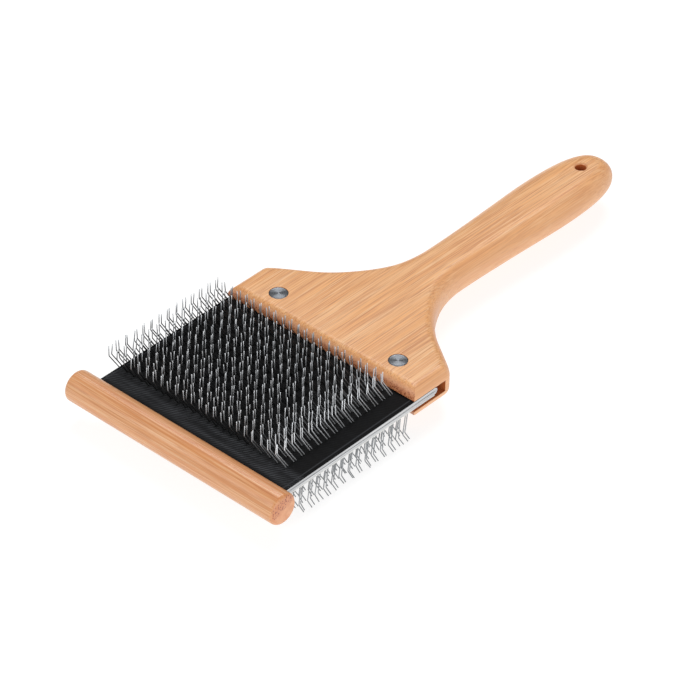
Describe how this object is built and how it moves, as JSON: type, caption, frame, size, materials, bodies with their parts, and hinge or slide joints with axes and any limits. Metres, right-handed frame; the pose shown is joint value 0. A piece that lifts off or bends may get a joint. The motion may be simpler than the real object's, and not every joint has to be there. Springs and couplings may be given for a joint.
{
  "type": "double-sided slicker brush",
  "caption": "Double-sided slicker brush: bent wire pins on both faces of a folded sheet, a round bamboo front bar and a riveted bamboo paddle handle with a hanging hole.",
  "frame": {"origin": "below the middle of the overall length, on the plane through the tips of the lower pins", "axes": "+Y from the front bar towards the end of the handle, +Z out of the upper pin face, +X to the right seen from above with the handle pointing away"},
  "size_m": [0.115, 0.2715, 0.0269],
  "materials": {
    "bamboo": "satin lacquered",
    "sheet_aluminium": "mill finish",
    "black_card_cloth": "fine plain weave with a rubbery face",
    "grey_card_cloth": "pressed light felt",
    "rivet_steel": "turned",
    "pin_wire": "drawn bright wire"
  },
  "bodies": {
    "root": {"handle": "bamboo", "front_bar": "bamboo", "folded_sheet": "sheet_aluminium", "upper_card_cloth": "black_card_cloth", "lower_card_cloth": "grey_card_cloth", "rivet_tubes": "rivet_steel", "rivet_stems": "rivet_steel", "upper_pin_row_1": "pin_wire", "upper_pin_row_2": "pin_wire", "upper_pin_row_3": "pin_wire", "upper_pin_row_4": "pin_wire", "upper_pin_row_5": "pin_wire", "upper_pin_row_6": "pin_wire", "upper_pin_row_7": "pin_wire", "upper_pin_row_8": "pin_wire", "upper_pin_row_9": "pin_wire", "upper_pin_row_10": "pin_wire", "upper_pin_row_11": "pin_wire", "upper_pin_row_12": "pin_wire", "upper_pin_row_13": "pin_wire", "upper_pin_row_14": "pin_wire", "lower_pin_row_1": "pin_wire", "lower_pin_row_2": "pin_wire", "lower_pin_row_3": "pin_wire", "lower_pin_row_4": "pin_wire", "lower_pin_row_5": "pin_wire", "lower_pin_row_6": "pin_wire", "lower_pin_row_7": "pin_wire", "lower_pin_row_8": "pin_wire", "lower_pin_row_9": "pin_wire", "lower_pin_row_10": "pin_wire", "lower_pin_row_11": "pin_wire", "lower_pin_row_12": "pin_wire", "lower_pin_row_13": "pin_wire", "lower_pin_row_14": "pin_wire"}
  },
  "joints": []
}
